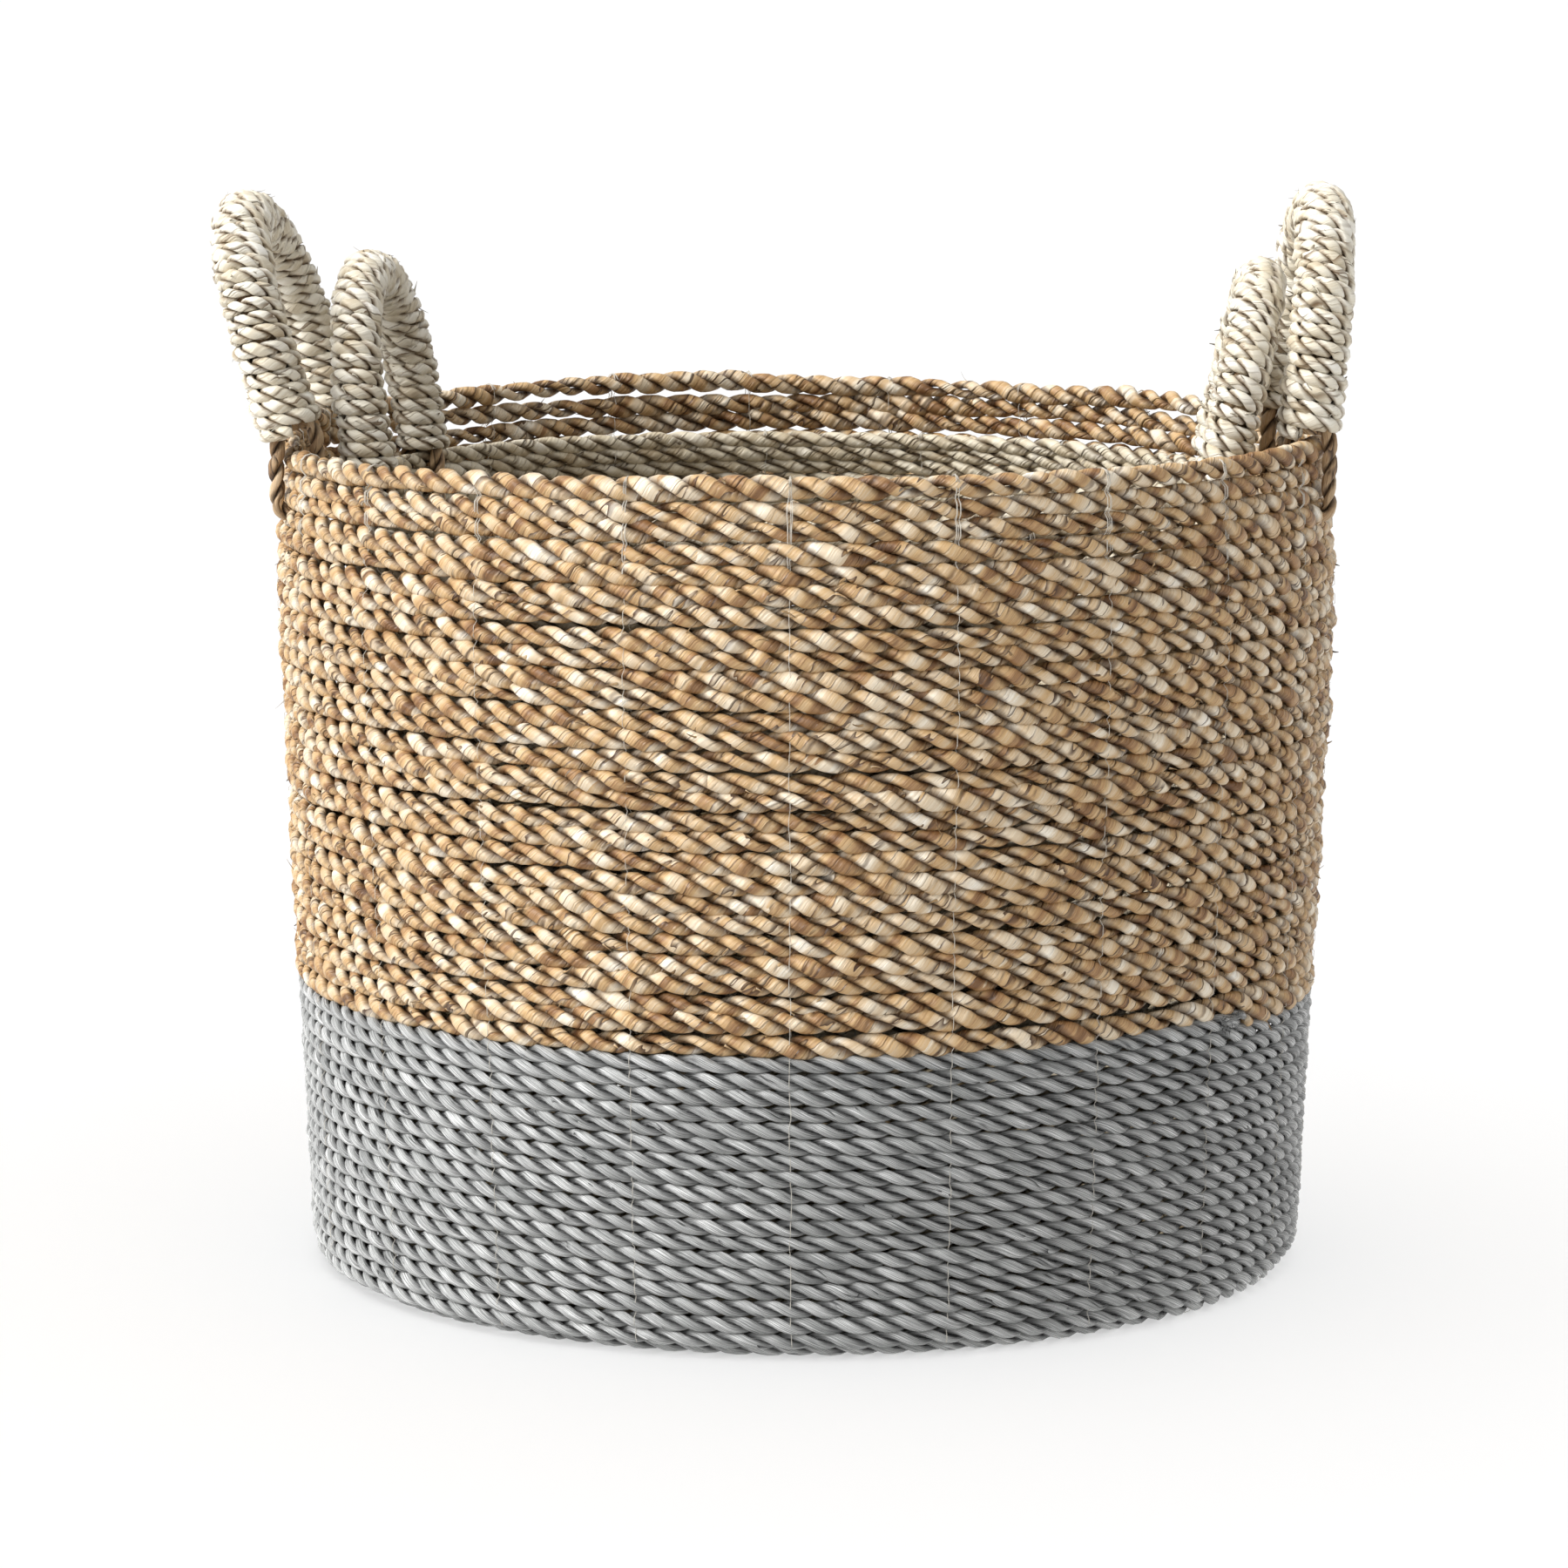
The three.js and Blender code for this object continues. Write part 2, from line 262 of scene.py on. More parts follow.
def settled(points, seed, top, sag, tip):
    """A basket's hand-made shape: out of round by a millimetre or two, and lower by sag at the handles.

    Waves of two to seven to the turn push the radius, and the height sinks with the square of the height.
    The front is higher by tip and the back lower, which evens out the climb of the last turn.
    """
    rng = np.random.default_rng(seed)
    angle = np.arctan2(points[..., 1], points[..., 0])
    share = points[..., 2] / top
    push = sum(
        rng.uniform(-1, 1) * np.cos(k * angle + rng.uniform(0, 6) + rng.uniform(-3, 3) * share)
        for k in range(2, 8)
    )
    radius = np.hypot(points[..., 0], points[..., 1]).clip(0.02)
    grown = 1 + 0.0006 * push * share / radius
    moved = points * np.stack([grown, grown, np.ones_like(grown)], -1)
    moved[..., 2] += (sag * (0.35 * np.cos(angle) - np.cos(2 * angle)) - tip * np.sin(angle)) * share**2
    return moved


def jostled(path, out, rng, amount):
    """A rope's middle line pushed off its course by up to a millimetre or so, as handwork leaves it."""
    along = np.concatenate([[0], np.cumsum(np.linalg.norm(np.diff(path, axis=0), axis=1))])
    up = np.cross(out, unit(np.gradient(path, axis=0)))
    side = sum(drift(rng, along, reach, amount * share) for reach, share in ((0.25, 1.0), (0.06, 0.6)))
    proud = sum(drift(rng, along, reach, amount * share) for reach, share in ((0.2, 1.0), (0.05, 0.7)))
    return path + side[:, None] * up + proud[:, None] * out


cad_gap = 0.0003
centre_radius = 0.004
centre_turn = 0.6
base_low, base_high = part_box("large_base_coil")
band_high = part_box("large_grey_band")[1]
grey_rope = base_high[2] - base_low[2]
foot_heights, foot_radii = outline("large_grey_band")
foot_radius = foot_radii[foot_heights > 0.01][0]
corner = foot_radius - base_high[0] - cad_gap
corner_turn = np.linspace(-math.pi / 2, 0, 12)
corner_points = np.stack(
    [
        foot_radius - corner + (corner - grey_rope / 2) * np.cos(corner_turn),
        corner + (corner - grey_rope / 2) * np.sin(corner_turn),
    ],
    -1,
)
band_top = [foot_radii[-1] - grey_rope / 2, foot_heights[-1]]
grey_line = meridian([[centre_radius, grey_rope / 2], *corner_points, band_top])
grey_step = 0.00662
grey_lay = 0.0252
grey_thick = 0.0074
splice_azimuth = math.radians(-33)
grey_turns = (grey_line[0][-1] - grey_step / 2) / grey_step
grey_azimuth = splice_azimuth - 2 * math.pi * grey_turns


def fibre_group():
    """Plant fibre along a twisted strand, from the strand map.

    Leaves wrap the strand in a helix of one turn for each wrap length. The number of wraps from the
    strand's end, wandering with noise, gives each leaf its own tone by its whole part, and its raised edge
    by its fraction. Noise on a circle round the strand, turned with the helix, gives fibres along the
    leaves. Where noise is low the leaves lie smooth; elsewhere each leaf's edge gets a dark line of painted
    shade in its crease. The side towards the rope's middle, where the strands meet, is darkened as painted
    shade. Both come out as Crease.
    """
    tree = bpy.data.node_groups.new("plant_fibre", "ShaderNodeTree")
    socket = tree.interface.new_socket
    for name in ("Wrap", "Leaf", "Creases", "Change", "Fineness"):
        socket(name, in_out="INPUT", socket_type="NodeSocketFloat")
    for name in ("Tone", "Fibre", "Crease", "Height"):
        socket(name, in_out="OUTPUT", socket_type="NodeSocketFloat")
    nodes, links = tree.nodes, tree.links
    given = nodes.new("NodeGroupInput").outputs
    result = nodes.new("NodeGroupOutput").inputs

    def maths(kind, *values, clamp=False):
        node = nodes.new("ShaderNodeMath")
        node.operation = kind
        node.use_clamp = clamp
        for slot, value in zip(node.inputs, values):
            if isinstance(value, (int, float)):
                slot.default_value = value
            else:
                links.new(value, slot)
        return node.outputs[0]

    def noise(circle, run, detail):
        """Noise on a circle of that radius round the strand, and run along it."""
        place = nodes.new("ShaderNodeCombineXYZ")
        links.new(maths("MULTIPLY", maths("COSINE", wound), circle), place.inputs[0])
        links.new(maths("MULTIPLY", maths("SINE", wound), circle), place.inputs[1])
        links.new(run, place.inputs[2])
        texture = nodes.new("ShaderNodeTexNoise")
        texture.inputs["Scale"].default_value = 1
        texture.inputs["Detail"].default_value = detail
        links.new(place.outputs[0], texture.inputs["Vector"])
        return texture.outputs["Fac"]

    strand = nodes.new("ShaderNodeUVMap")
    strand.uv_map = "strand"
    apart = nodes.new("ShaderNodeSeparateXYZ")
    links.new(strand.outputs[0], apart.inputs[0])
    along, round_it = apart.outputs[0], apart.outputs[1]
    wraps = maths("SUBTRACT", maths("DIVIDE", along, given["Wrap"]), round_it)
    wound = maths("MULTIPLY", wraps, -2 * math.pi)
    leaves = maths("DIVIDE", along, given["Leaf"])
    wander = noise(0.6, leaves, 0.0)
    wandered = maths("ADD", wraps, maths("MULTIPLY", wander, 1.6))
    edge = maths("FRACT", wandered)
    own = nodes.new("ShaderNodeTexWhiteNoise")
    own.noise_dimensions = "1D"
    links.new(maths("FLOOR", wandered), own.inputs["W"])
    smooth = noise(0.8, maths("MULTIPLY", leaves, 0.9), 0.0)
    least = maths("SUBTRACT", 0.70, maths("MULTIPLY", given["Creases"], 0.36))
    cover = maths("MULTIPLY", maths("SUBTRACT", smooth, least), 9.0, clamp=True)
    # Painted shade: a dark line in the crease at each leaf's edge, where the cover noise lets creases show.
    # The same line dips the bump height.
    line = maths("SUBTRACT", 1.0, maths("DIVIDE", edge, 0.26), clamp=True)
    line = maths("MULTIPLY", maths("POWER", line, 1.2), cover)
    # Painted shade: the side of each strand towards the rope's middle, where the strands meet, is darkened.
    from_middle = maths("SUBTRACT", 0.5, maths("ABSOLUTE", maths("SUBTRACT", round_it, 0.5)))
    inner_shade = maths("DIVIDE", maths("SUBTRACT", 0.30, from_middle), 0.19, clamp=True)
    crease_shade = maths("MAXIMUM", line, maths("MULTIPLY", inner_shade, 0.85))
    change = maths("MULTIPLY", maths("SUBTRACT", own.outputs["Value"], 0.5), given["Change"])
    patch = maths("MULTIPLY_ADD", noise(0.32, maths("MULTIPLY", leaves, 0.5), 0.5), 0.6, 0.1)
    stretch = maths("MULTIPLY", noise(0.03, maths("MULTIPLY", along, 5.0), 1.0), 0.2)
    tone = maths("ADD", maths("ADD", patch, stretch), change)
    fibre = noise(given["Fineness"], maths("MULTIPLY", leaves, 0.8), 3.0)
    proud = maths("MULTIPLY", maths("MULTIPLY", edge, 0.7), cover)
    height = maths("SUBTRACT", maths("ADD", maths("MULTIPLY", fibre, 0.5), proud), line)
    links.new(tone, result["Tone"])
    links.new(fibre, result["Fibre"])
    links.new(crease_shade, result["Crease"])
    links.new(height, result["Height"])
    return tree


plant_fibre = fibre_group()


def rope_finish(name, tones, crease_shade_colour, roughness, bump, streaks, **leaves):
    """Principled material of a fibre rope: tones on a ramp, streaked by fibres, with painted shade in
    creases.
    """
    material = bpy.data.materials.new(name)
    material.use_nodes = True
    nodes, links = material.node_tree.nodes, material.node_tree.links
    shader = nodes["Principled BSDF"]
    fibre = nodes.new("ShaderNodeGroup")
    fibre.node_tree = plant_fibre
    for label, value in leaves.items():
        fibre.inputs[label.capitalize()].default_value = value
    ramp = nodes.new("ShaderNodeValToRGB")
    for at, _ in tones[1:-1]:
        ramp.color_ramp.elements.new(at)
    for element, (at, colour) in zip(ramp.color_ramp.elements, tones):
        element.position = at
        element.color = (*colour, 1)
    streaked = nodes.new("ShaderNodeMix")
    streaked.data_type = "FLOAT"
    streaked.inputs[0].default_value = streaks
    links.new(fibre.outputs["Tone"], streaked.inputs[2])
    links.new(fibre.outputs["Fibre"], streaked.inputs[3])
    links.new(streaked.outputs[0], ramp.inputs[0])
    # Painted shade: the crease shade colour is mixed in along leaf-edge creases and on strand sides towards
    # the rope's middle.
    crease_shade_mix = nodes.new("ShaderNodeMix")
    crease_shade_mix.data_type = "RGBA"
    crease_shade_mix.inputs[7].default_value = (*crease_shade_colour, 1)
    links.new(fibre.outputs["Crease"], crease_shade_mix.inputs[0])
    links.new(ramp.outputs[0], crease_shade_mix.inputs[6])
    links.new(crease_shade_mix.outputs[2], shader.inputs["Base Color"])
    rough = nodes.new("ShaderNodeMapRange")
    rough.inputs["To Min"].default_value = roughness - 0.1
    rough.inputs["To Max"].default_value = roughness + 0.15
    links.new(fibre.outputs["Fibre"], rough.inputs["Value"])
    links.new(rough.outputs[0], shader.inputs["Roughness"])
    raised = nodes.new("ShaderNodeBump")
    raised.inputs["Strength"].default_value = 0.8
    raised.inputs["Distance"].default_value = bump
    links.new(fibre.outputs["Height"], raised.inputs["Height"])
    links.new(raised.outputs[0], shader.inputs["Normal"])
    return material


# The ramp's near-white top is a painted highlight: fibre streaks that reach it stand in for glints on the
# grey strands. The lower tones are the rope's own grey.
grey_tones_and_glints = (
    (0.34, (0.12, 0.125, 0.125)),
    (0.44, (0.305, 0.31, 0.303)),
    (0.54, (0.475, 0.48, 0.47)),
    (0.62, (0.92, 0.92, 0.91)),
)
grey_finish = rope_finish(
    "grey_cord", grey_tones_and_glints, (0.02, 0.02, 0.021), roughness=0.24, bump=0.0016, streaks=0.7,
    wrap=0.04, leaf=0.011, creases=0.2, change=0.08, fineness=12.0,
)


def wound(
    line, place, turns, azimuth, thick, lay, seed, shape, jostle,
    rough=1.0, sides=8, samples=9, taper=0.0, wide=0.68,
):
    """A coil: its turns, its middle line, the outward directions and its strands.

    Samples is the number of rings in a lay, and taper the part of a turn over which the end thins out.
    """
    rng = np.random.default_rng(seed)
    turn, path, out = coiled(line, place, turns, azimuth, lay / samples)
    path = shape(jostled(path, out, rng, jostle))
    grids = twisted(path, out, thick, lay, rng, sides, rough, wide=wide)
    if taper:
        slim = (0.3 + 0.7 * ((turns[1] - turn) / taper).clip(0, 1))[:, None, None]
        grids = [(path[:, None] + slim * (grid - path[:, None]), along) for grid, along in grids]
    return turn, path, out, grids


def stretch(name, coil, low, high, material, body, node, slot):
    """The part of a coil between two turns, as a piece that stands for a CAD node."""
    first, last = np.searchsorted(coil[0], (low, high))
    span = slice(first, last + 1)
    piece = rope_mesh(name, [(grid[span], along[span]) for grid, along in coil[3]], material)
    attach(piece, body)
    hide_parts(node)


def grey_place(turn):
    return turn * grey_step


def large_shape(points):
    return settled(points, 3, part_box("large_rim_rope")[1][2], 0.0016, 0.0007)


base_turns = base_high[0] / grey_step
base_thick = 0.0066
base = wound(
    grey_line, grey_place, (centre_turn, base_turns), grey_azimuth, base_thick, grey_lay, 11, large_shape,
    0.0002, rough=0.5, sides=6, samples=6,
)
stretch("large_base_rope", base, 0, base_turns, grey_finish, "large_basket", "large_base_coil", "grey_cord")
band = wound(
    grey_line, grey_place, (base_turns, grey_turns), grey_azimuth, grey_thick, grey_lay, 12, large_shape,
    0.00025, rough=0.7, samples=10, wide=0.66,
)
cuts = np.linspace(base_turns, grey_turns, 3)
for n, (low, high) in enumerate(zip(cuts, cuts[1:])):
    name = f"large_band_rope_{n + 1}"
    stretch(name, band, low, high, grey_finish, "large_basket", "large_grey_band", "grey_cord")

# ---- Large basket: natural wall and rim ----
# Brown seagrass, dried and twisted from flat leaves, coiled on from the grey rope's frayed end. The top
# rows are looser, with light between them, and the last turn thins out behind the left handle.

rim_low, rim_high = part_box("large_rim_rope")
natural_rope = rim_high[2] - rim_low[2]
heights, radii = outline("large_natural_wall", "large_rim_rope")
natural_bottom = band_high[2] - grey_step / 2
natural_rise = 0.0028
natural_top = rim_high[2] - natural_rope / 2 + natural_rise
wall_heights = np.linspace(natural_bottom, natural_top, 60)
shoulder = [(z, r) for z, r in zip(heights, radii) if z < rim_low[2] + natural_rope / 2 + 0.0005]
wall_radii = np.interp(wall_heights, *zip(*shoulder)) - natural_rope / 2
natural_line = meridian(np.stack([wall_radii, wall_heights], -1))
end_azimuth = math.radians(192)
natural_turns = 28 + ((end_azimuth - splice_azimuth) / (2 * math.pi)) % 1
natural_lay = 0.0275
natural_thick = 0.0094
loose_turns = 4
loosening = 0.055
natural_step = natural_line[0][-1] / (natural_turns + loose_turns * loosening)


def natural_place(turn):
    """A step for each turn, and a little more for the loose ones.

    Towards its end the last turn dips a little, then rises in a hump, and dips again where it stops.
    """
    looser = loosening * (turn - natural_turns + loose_turns).clip(0, loose_turns)
    left = natural_turns - turn
    hump_turns = [0.12, 0.18, 0.195, 0.235, 0.27, 0.29, 0.37, 0.40]
    hump_steps = [0, 0.1, 0.5, 0.5, 0.1, -0.1, -0.2, 0]
    hump = np.interp(left, hump_turns, hump_steps)
    dip = 0.5 * (1 - left / 0.06).clip(0, 1)
    return natural_step * (turn + looser + hump - dip)


def frays(path, out, rng, count, thick, length, width):
    """Loose leaf ends that stand off a rope, flat, tapered and curling."""
    tangent = unit(np.gradient(path, axis=0))
    run = np.linspace(0, 1, 6)
    grids = []
    for n in rng.integers(2, len(path) - 2, count):
        side = np.cross(out[n], tangent[n])
        place = rng.uniform(-1.2, 1.2)
        proud = math.cos(place) * out[n] + math.sin(place) * side
        course = rng.uniform(0.15, 0.5) * proud + rng.choice([-1, 1]) * tangent[n]
        course = unit(course + rng.uniform(-0.7, 0.7) * side)
        curl = rng.uniform(-0.5, 0.6) * proud + rng.uniform(-0.6, 0.6) * side
        reach = length * rng.uniform(0.4, 1)
        line = path[n] + 0.42 * thick * proud + reach * (run[:, None] * course + run[:, None] ** 2 * curl)
        half = width * rng.uniform(0.4, 1) * (1 - 0.75 * run)
        grids.append(tube(line, np.broadcast_to(proud, line.shape), half, 4, 0.3))
    return grids


natural_tones = (
    (0.32, (0.18, 0.08, 0.025)),
    (0.40, (0.37, 0.205, 0.087)),
    (0.47, (0.565, 0.37, 0.175)),
    (0.54, (0.635, 0.48, 0.305)),
    (0.62, (0.77, 0.655, 0.49)),
    (0.72, (0.93, 0.88, 0.78)),
)
natural_finish = rope_finish(
    "natural_seagrass", natural_tones, (0.06, 0.022, 0.006), roughness=0.40, bump=0.0012, streaks=0.22,
    wrap=0.0085, leaf=0.012, creases=0.85, change=0.22, fineness=4.0,
)
natural_coil = wound(
    natural_line, natural_place, (0, natural_turns), splice_azimuth, natural_thick, natural_lay, 31,
    large_shape, 0.0009, rough=1.4, samples=13, taper=0.07, wide=0.67,
)
cuts = np.linspace(0, natural_turns - 1, 5).tolist() + [natural_turns]
names = [(f"large_wall_rope_{n}", "large_natural_wall") for n in (1, 2, 3, 4)]
names.append(("large_rim_rope_turn", "large_rim_rope"))
for (name, node), low, high in zip(names, cuts, cuts[1:]):
    stretch(name, natural_coil, low, high, natural_finish, "large_basket", node, "natural_seagrass")
loose_leaves = frays(*natural_coil[1:3], np.random.default_rng(90), 560, natural_thick, 0.006, 0.0008)
large_loose_leaves = rope_mesh("large_loose_leaves", loose_leaves, natural_finish)
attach(large_loose_leaves, "large_basket")
grey_end = frays(band[1][-10:], band[2][-10:], np.random.default_rng(91), 90, grey_thick, 0.0045, 0.0007)
large_splice_tuft = rope_mesh("large_splice_tuft", grey_end, grey_finish)
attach(large_splice_tuft, "large_basket")

# ---- Small basket: base, wall and rim ----
# Pale seagrass rope all through, wound in the same way as the large basket and a little finer. Its
# colours are painted shade: the pale seagrass tones darkened and tinted olive, for its place inside the
# large basket.

small_base_low, small_base_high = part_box("small_base_coil")
small_rim_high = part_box("small_rim_rope")[1]
pale_rope = small_base_high[2] - small_base_low[2]
small_heights, small_radii = outline("small_wall", "small_rim_rope")
small_foot_radius = small_radii[small_heights > small_base_low[2] + 0.01][0]
small_corner = small_foot_radius - small_base_high[0] - cad_gap
small_corner_points = np.stack(
    [
        small_foot_radius - small_corner + (small_corner - pale_rope / 2) * np.cos(corner_turn),
        small_base_low[2] + small_corner + (small_corner - pale_rope / 2) * np.sin(corner_turn),
    ],
    -1,
)
small_rise = 0.002
small_top = small_rim_high[2] - pale_rope / 2 + small_rise
small_wall_bottom = small_base_low[2] + small_corner
small_shoulder = [
    (z, r) for z, r in zip(small_heights, small_radii) if small_wall_bottom < z < small_top + 0.0005
]
small_wall_heights = np.linspace(small_wall_bottom, small_top, 60)
small_wall_radii = np.interp(small_wall_heights, *zip(*small_shoulder)) - pale_rope / 2
small_line = meridian(
    [
        [centre_radius, small_base_low[2] + pale_rope / 2],
        *small_corner_points[:-1],
        *np.stack([small_wall_radii, small_wall_heights], -1),
    ]
)
small_step = 0.0069
small_thick = 0.0079
small_lay = 0.0285
small_end_azimuth = math.radians(188)
small_turns = round(small_line[0][-1] / small_step)
small_azimuth = small_end_azimuth - 2 * math.pi * small_turns

pale_tones = (
    (0.28, (0.46, 0.36, 0.23)),
    (0.42, (0.67, 0.595, 0.455)),
    (0.54, (0.82, 0.77, 0.65)),
    (0.72, (0.93, 0.90, 0.83)),
)
# Painted shade: a copy of the pale seagrass tones and crease colour, darkened and tinted olive, for the
# small basket inside the large one.
small_shaded_tones = [(at, tuple(np.multiply(colour, (0.79, 0.75, 0.68)))) for at, colour in pale_tones]
small_shaded_finish = rope_finish(
    "small_seagrass_shaded", small_shaded_tones, (0.10, 0.06, 0.025), roughness=0.42, bump=0.0010, streaks=0.25,
    wrap=0.0085, leaf=0.013, creases=0.75, change=0.2, fineness=3.0,
)
pale_finish = rope_finish(
    "pale_seagrass", pale_tones, (0.19, 0.12, 0.06), roughness=0.42, bump=0.0008, streaks=0.22,
    wrap=0.0080, leaf=0.013, creases=0.6, change=0.18, fineness=4.0,
)


def small_place(turn):
    """A step for each turn, and a dip where the rope ends."""
    step = small_line[0][-1] / small_turns
    bend = small_turns - 0.06
    return step * np.interp(turn, [0, bend, small_turns], [0, bend, small_turns - 0.5])


def small_shape(points):
    return settled(points, 8, small_rim_high[2], 0.0008, 0.0018)


small_base_turns = small_base_high[0] / small_step
small_fine_turns = 10
small_fine = small_turns - small_fine_turns
# Each span has its CAD node, turns, sides, samples, taper and pieces. The hidden ones are coarser.
spans = [
    ("small_base_coil", (centre_turn, small_base_turns), 6, 6, 0, ["small_base_rope"]),
    ("small_wall", (small_base_turns, small_fine), 6, 6, 0, ["small_wall_rope_1", "small_wall_rope_2"]),
    ("small_wall", (small_fine, small_turns - 1), 8, 11, 0, ["small_wall_rope_3"]),
    ("small_rim_rope", (small_turns - 1, small_turns), 8, 11, 0.07, ["small_rim_rope_turn"]),
]
for n, (node, span, sides, samples, taper, names) in enumerate(spans):
    coil = wound(
        small_line, small_place, span, small_azimuth, small_thick, small_lay, 51 + n, small_shape, 0.0005,
        sides=sides, samples=samples, taper=taper,
    )
    cuts = np.linspace(*span, len(names) + 1)
    for name, low, high in zip(names, cuts, cuts[1:]):
        stretch(name, coil, low, high, small_shaded_finish, "small_basket", node, "pale_seagrass")

# ---- Sewing threads ----
# Thin pale threads that sew each basket's rows together. Each goes up the outside, over the rim and down
# inside, and is doubled over the top rows.

thread_finish = bpy.data.materials.new("sewing_thread")
thread_finish.use_nodes = True
thread_finish.node_tree.nodes["Principled BSDF"].inputs["Base Color"].default_value = (0.74, 0.70, 0.62, 1)
thread_finish.node_tree.nodes["Principled BSDF"].inputs["Roughness"].default_value = 0.3
thread_finish.node_tree.nodes["Principled BSDF"].inputs["Alpha"].default_value = 0.45


def passed(line, place, turns, azimuth, thick, at):
    """A coil's rows where they pass an azimuth: radius, height, outward radius and height, thickness."""
    first = turns[0] + ((at - azimuth) / (2 * math.pi) - turns[0]) % 1
    distance = place(np.arange(first, turns[1]))
    rows = [np.interp(distance, line[0], row) for row in line[1:]]
    return np.stack([*rows, np.full(len(distance), thick)])


def large_rows(at):
    grey = passed(grey_line, grey_place, (base_turns, grey_turns), grey_azimuth, grey_thick, at)
    natural = passed(natural_line, natural_place, (0, natural_turns), splice_azimuth, natural_thick, at)
    return np.concatenate([grey, natural], axis=1)


def small_rows(at):
    return passed(small_line, small_place, (small_base_turns, small_turns), small_azimuth, small_thick, at)


def sewn(rows, shift, rng, inside=True):
    """A thread's places, as radius, height and sideways: over each row's crest and in between the rows."""
    radius, height, out_radius, out_height, thick = rows
    side = shift + rng.uniform(-0.0005, 0.0005, len(radius))
    faces = []
    for way in (1, -1) if inside else (1,):
        crests = []
        for share in (-0.2, 0.2):
            reach = way * (thick / 2 - 0.0005)
            crest_radius = radius + reach * out_radius - share * thick * out_height
            crest_height = height + reach * out_height + share * thick * out_radius
            crests.append(np.stack([crest_radius, crest_height, way * side], -1))
        between = np.stack([radius + way * 0.22 * thick, height, way * side], -1)
        between = (between + np.roll(between, -1, axis=0)) / 2
        faces.append(np.stack([*crests, between], 1).reshape(-1, 3)[:-1])
    bend = np.linspace(0.5, math.pi - 0.5, 5)
    reach = thick[-1] / 2
    over = [radius[-1] + reach * np.cos(bend), height[-1] + reach * np.sin(bend), side[-1] * np.cos(bend)]
    return np.concatenate([faces[0], np.stack(over, -1), *(face[::-1] for face in faces[1:])])


thread_radius = 0.00017
doubled_radius = 0.00028
sewing = (("large", 21, large_rows, large_shape), ("small", 16, small_rows, small_shape))
for basket_name, count, rows_at, shape in sewing:
    for n in range(1, count + 1):
        node = f"{basket_name}_stitch_{n:02d}"
        rng = np.random.default_rng(200 + n)
        middle = np.mean([v.co for v in frame["nodes"][node].data.vertices], axis=0)
        azimuth = math.atan2(middle[1], middle[0])
        radial = np.array([math.cos(azimuth), math.sin(azimuth), 0])
        sideways = np.array([-math.sin(azimuth), math.cos(azimuth), 0])
        rows = rows_at(azimuth)
        grids = []
        courses = (
            (sewn(rows, 0, rng), thread_radius),
            (sewn(rows[:, -4:], 0.0008, rng, False), doubled_radius),
            (sewn(rows[:, -5:], -0.0007, rng, False), doubled_radius),
        )
        for course, radius in courses:
            height = course[:, 1:2] * np.array([0, 0, 1.0])
            line = shape(course[:, :1] * radial + height + course[:, 2:] * sideways)
            grids.append(tube(line, np.broadcast_to(sideways, line.shape), radius, 5))
        piece = rope_mesh(f"{basket_name}_thread_{n:02d}", grids, thread_finish)
        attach(piece, f"{basket_name}_basket")
        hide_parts(node)

# ---- Handles ----
# A bundle of brown rope, bent to an arch and wrapped tightly from leg to leg with pale twisted rope. Below
# each leg a brown rope goes down outside the wall, through it and up again inside.

brown_tones = (
    (0.30, (0.12, 0.06, 0.024)),
    (0.44, (0.36, 0.22, 0.11)),
    (0.56, (0.55, 0.385, 0.22)),
    (0.72, (0.78, 0.64, 0.46)),
)
brown_finish = rope_finish(
    "brown_cord", brown_tones, (0.03, 0.014, 0.006), roughness=0.5, bump=0.0012, streaks=0.45,
    wrap=0.014, leaf=0.010, creases=0.85, change=0.22, fineness=6.0,
)


def arch(side_name, basket_name, part):
    """A handle part from the frame: its hinge point, the directions across, up and out, and its sizes."""
    joint = next(j for j in frame["joints"] if j["name"] == f"{basket_name}_{side_name}_handle_tilt")
    node = frame["nodes"][f"{basket_name}_{side_name}_handle_{part}"]
    places = np.array([v.co for v in node.data.vertices]) - joint["pos_m"]
    across = np.array(joint["axis"], float)
    middle = places.mean(0)
    rise = unit(middle - across * (middle @ across))
    out = np.cross(across, rise)
    grip = np.ptp(places @ out) / 2
    half = abs(places @ across).max() - grip
    height = (places @ rise).max() - grip
    foot = (places @ rise).min()
    return np.array(joint["pos_m"]), across, rise, out, grip, half, height, foot


def arch_line(half, height, foot, spacing):
    """Lengths along an arch on two straight legs, evenly spaced, with its points and outward directions.

    Both are across and up.
    """
    leg = height - half - foot
    length = 2 * leg + math.pi * half
    along = np.arange(0, length, spacing)
    angle = ((along - leg) / half).clip(0, math.pi)
    rise = foot + along.clip(0, leg) - (along - leg - math.pi * half).clip(0, leg)
    points = np.stack([half * np.cos(angle), rise + half * np.sin(angle)], -1)
    return along, points, np.stack([np.cos(angle), np.sin(angle)], -1)


def rounded(points, spacing, reach):
    """An evenly spaced line near corner points, each place the mean of the stretch within reach of it."""
    points = np.array(points)
    length = np.concatenate([[0], np.cumsum(np.linalg.norm(np.diff(points, axis=0), axis=1))])
    at = np.arange(0, length[-1], spacing)[:, None] + np.linspace(-reach, reach, 9)
    return np.stack([np.interp(at.clip(0, length[-1]), length, row).mean(1) for row in points.T], -1)


wrap_rope = 0.0066
wrap_lay = 0.0158
wrap_pitch = 0.0058
strap_rope = 0.0066
strap_lay = 0.018
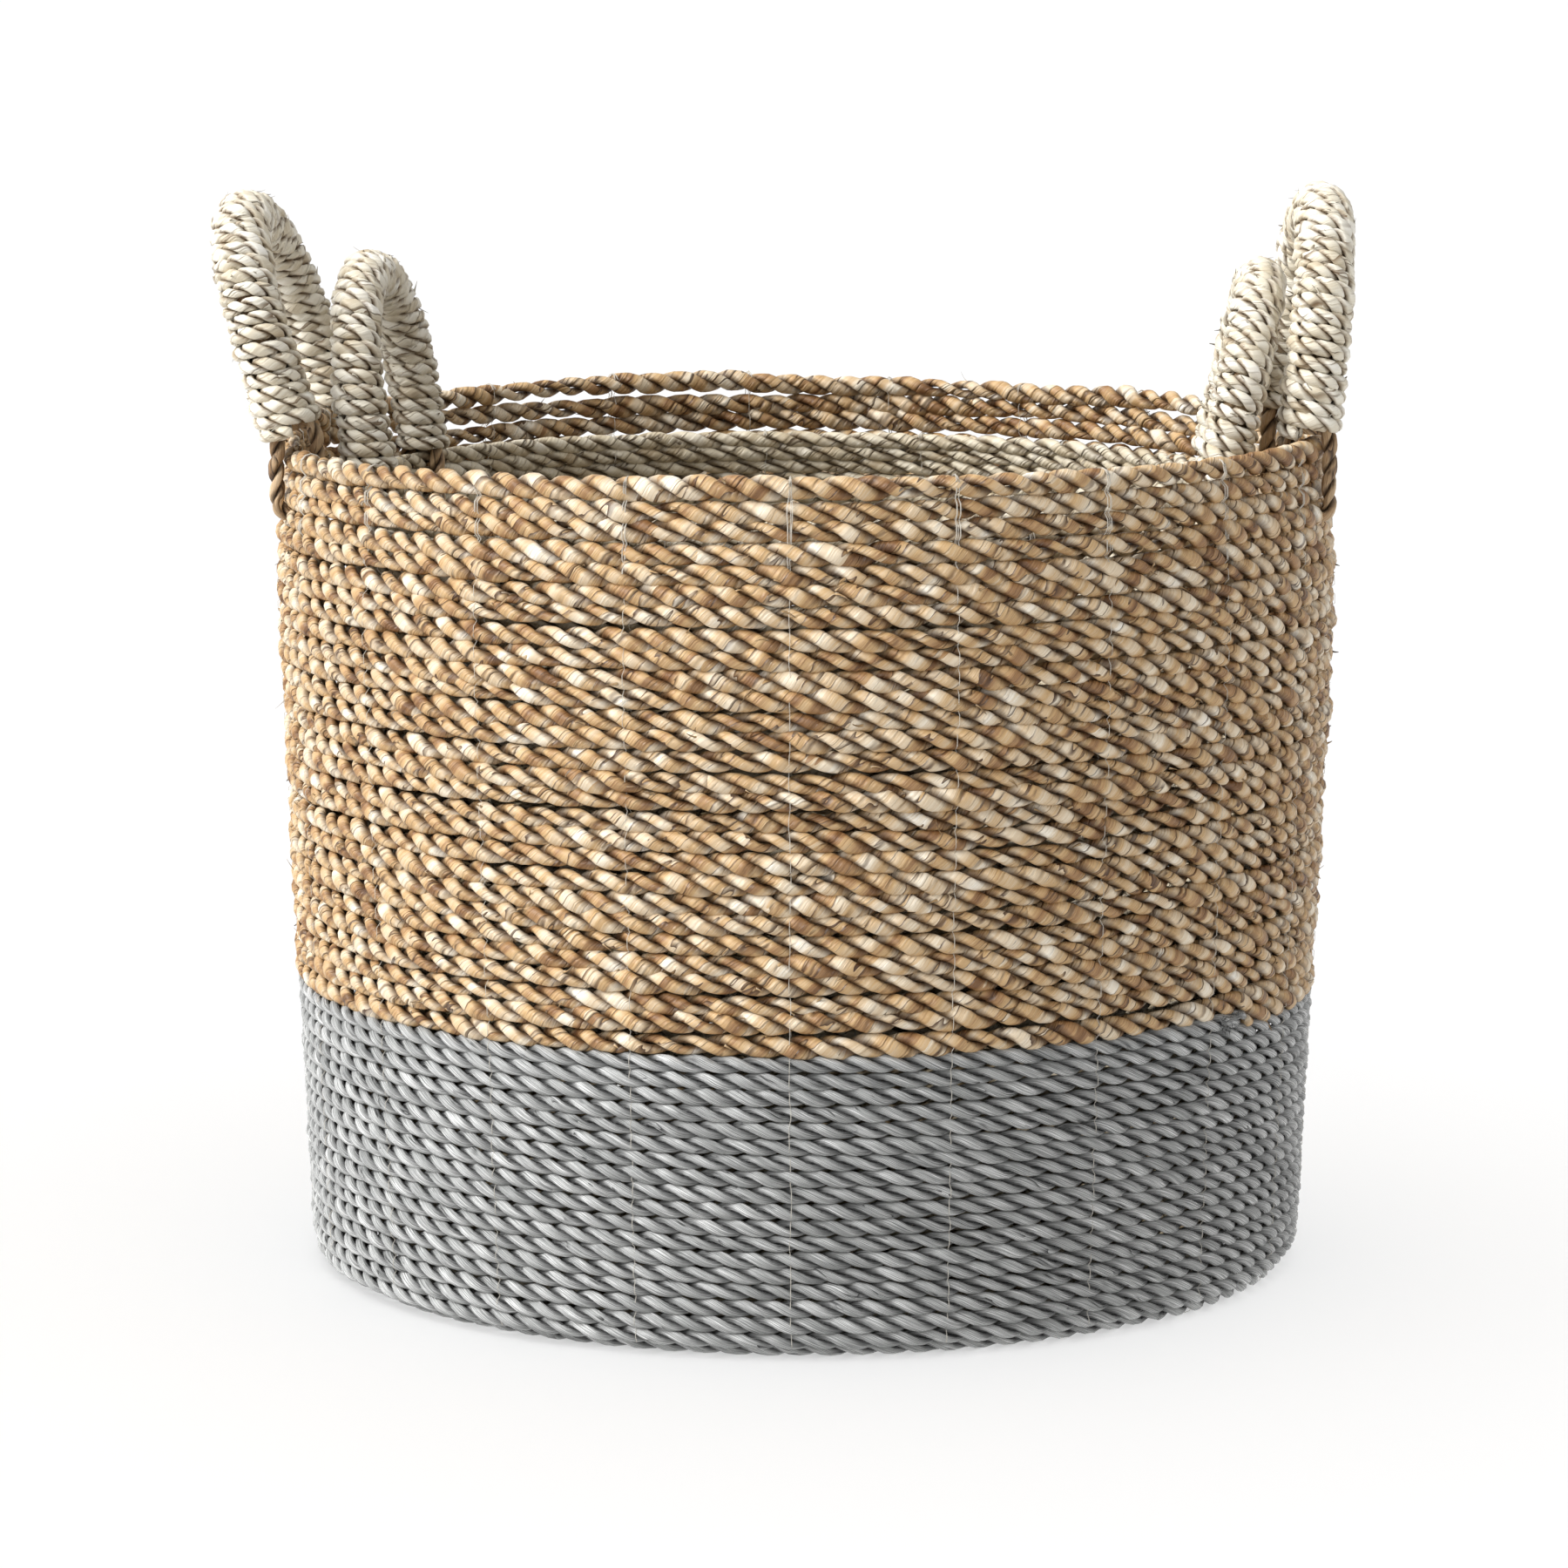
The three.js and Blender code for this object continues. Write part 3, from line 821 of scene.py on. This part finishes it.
# How far out from its hinge a handle stands, and how much it leans out, where it was bent by hand.
bent = {"large_left_handle": (0.003, 0.0), "small_right_handle": (-0.002, 0.09)}
for basket_name in ("large", "small"):
    for side_name in ("left", "right"):
        body = f"{basket_name}_{side_name}_handle"
        rng = np.random.default_rng(len(basket_name + side_name) + 70 * (basket_name == "small"))
        hinge, across, rise, out, grip, half, height, foot = arch(side_name, basket_name, "wrap")
        away = np.array([np.sign(hinge[0]), 0, 0])
        shift, lean = bent.get(body, (0.0, 0.0))
        hinge = hinge + shift * away
        rise = unit(rise + lean * away)
        out = np.cross(across, rise)
        turn_radius = grip - wrap_rope / 2
        spacing = wrap_lay / 9 * wrap_pitch / (2 * math.pi * turn_radius)
        along, points, outer = arch_line(half, height, -0.0005, spacing)
        wind = 2 * math.pi * along / wrap_pitch + drift(rng, along, 0.004, 0.5)
        middle = hinge + points[:, :1] * across + points[:, 1:] * rise
        outwards = outer[:, :1] * across + outer[:, 1:] * rise
        round_it = np.cos(wind)[:, None] * outwards + np.sin(wind)[:, None] * out
        near_end = np.minimum(along, along[-1] - along)
        swell = 1 + 0.12 * np.exp(-near_end / 0.018) + 0.03 * np.sin(along / 0.031 + 1)
        swell = swell + drift(rng, along, 0.012, 0.05) + drift(rng, along, 0.0016, 0.04)
        path = middle + turn_radius * swell[:, None] * round_it
        wrap_grids = twisted(path, round_it, wrap_rope, wrap_lay, rng, 8, 1.2, wide=0.82)
        wrap = rope_mesh(f"{body}_wrap_rope", wrap_grids, pale_finish)
        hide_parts(f"{body}_wrap")
        loose_leaves = frays(path, round_it, rng, 140, wrap_rope, 0.005, 0.0008)
        frayed = rope_mesh(f"{body}_loose_leaves", loose_leaves, pale_finish)
        core_radius = arch(side_name, basket_name, "core")[4]
        along, points, outer = arch_line(half, height, -0.001, 0.004)
        path = hinge + points[:, :1] * across + points[:, 1:] * rise
        outwards = outer[:, :1] * across + outer[:, 1:] * rise
        core_grids = twisted(path, outwards, 2 * core_radius, 0.06, rng, 8, 0.5, strands=3)
        core = rope_mesh(f"{body}_core_rope", core_grids, brown_finish)
        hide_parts(f"{body}_core")
        straps = []
        for end_name in ("front", "back"):
            node = f"{basket_name}_{side_name}_strap_{end_name}"
            places = np.array([v.co for v in frame["nodes"][node].data.vertices])
            radial = unit(places.mean(0) * (1, 1, 0))
            reach = places @ radial
            thin = (places[:, 2].max() - places[:, 2].min()) * 0.09
            inside, outside, hole = reach.min() + thin, reach.max() - thin, places[:, 2].min() + thin
            sign = np.sign((places.mean(0) - hinge) @ across)
            leg = hinge + sign * half * across + 0.010 * rise
            up = np.array([0, 0, 1.0])
            course = [
                leg, outside * radial + hinge[2] * up, outside * radial + hole * up,
                inside * radial + hole * up, inside * radial + hinge[2] * up, leg,
            ]
            line = rounded(course, 0.0018, 0.006)
            sideways = np.broadcast_to(np.cross(up, radial), line.shape)
            grids = twisted(line, sideways, strap_rope, strap_lay, rng, 8, 1.3, wide=0.75)
            piece = rope_mesh(f"{basket_name}_{side_name}_strap_rope_{end_name}", grids, brown_finish)
            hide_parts(node)
            straps.append(piece)
        for piece in (wrap, frayed, core, *straps):
            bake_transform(piece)
